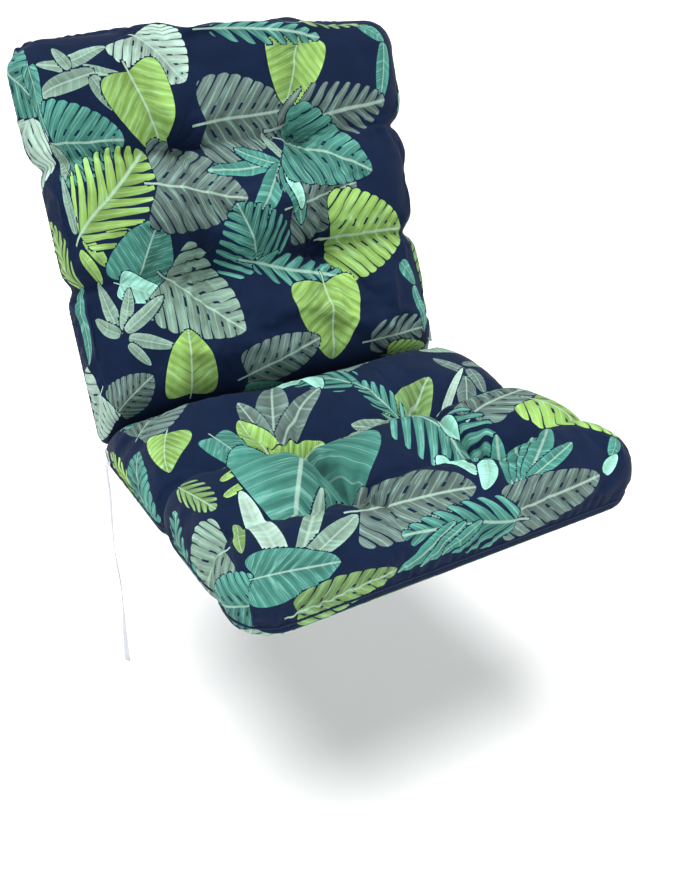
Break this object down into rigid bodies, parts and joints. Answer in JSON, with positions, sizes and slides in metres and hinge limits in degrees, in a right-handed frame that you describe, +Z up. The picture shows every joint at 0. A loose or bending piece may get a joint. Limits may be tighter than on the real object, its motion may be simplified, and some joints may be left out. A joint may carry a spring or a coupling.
{
  "type": "chair seat pad",
  "caption": "Tufted high-back chair cushion: a seat section and a back section joined by a sewn fold that turns, with a tie tape.",
  "frame": {"origin": "centre of the seat section's underside", "axes": "+X to the right seen from the front, +Y to the rear, +Z up out of the seat"},
  "size_m": [0.5587, 0.6138, 0.8435],
  "materials": {
    "printed_cloth": "plain-weave polyester, navy with a leaf print",
    "fibre_fill": "loose polyester fibre",
    "twine": "waxed navy twine",
    "thread": "navy sewing thread",
    "tie_tape": "pale grey woven tape",
    "label_satin": "white satin, blank"
  },
  "bodies": {
    "seat": {"seat_top_cover": "printed_cloth", "seat_underside_cover": "printed_cloth", "seat_fill": "fibre_fill", "seat_seam_allowance": "printed_cloth", "seat_tuft_threads": "twine", "seat_tuft_knots": "twine", "fold_seam": "printed_cloth", "tie_anchor_left": "tie_tape", "tie_anchor_right": "tie_tape", "tie_tape_left": "tie_tape"},
    "back": {"back_front_cover": "printed_cloth", "back_rear_cover": "printed_cloth", "back_fill": "fibre_fill", "back_seam_allowance": "printed_cloth", "back_tuft_threads": "twine", "back_tuft_knots": "twine", "back_fold_web": "printed_cloth", "closing_stitches": "thread", "care_label": "label_satin"}
  },
  "joints": [
    {"name": "back_fold", "type": "hinge", "parent": "seat", "child": "back", "pos_m": [0, 0.235, 0.018], "axis": [1, 0, 0], "range_deg": [-75, 8]}
  ]
}
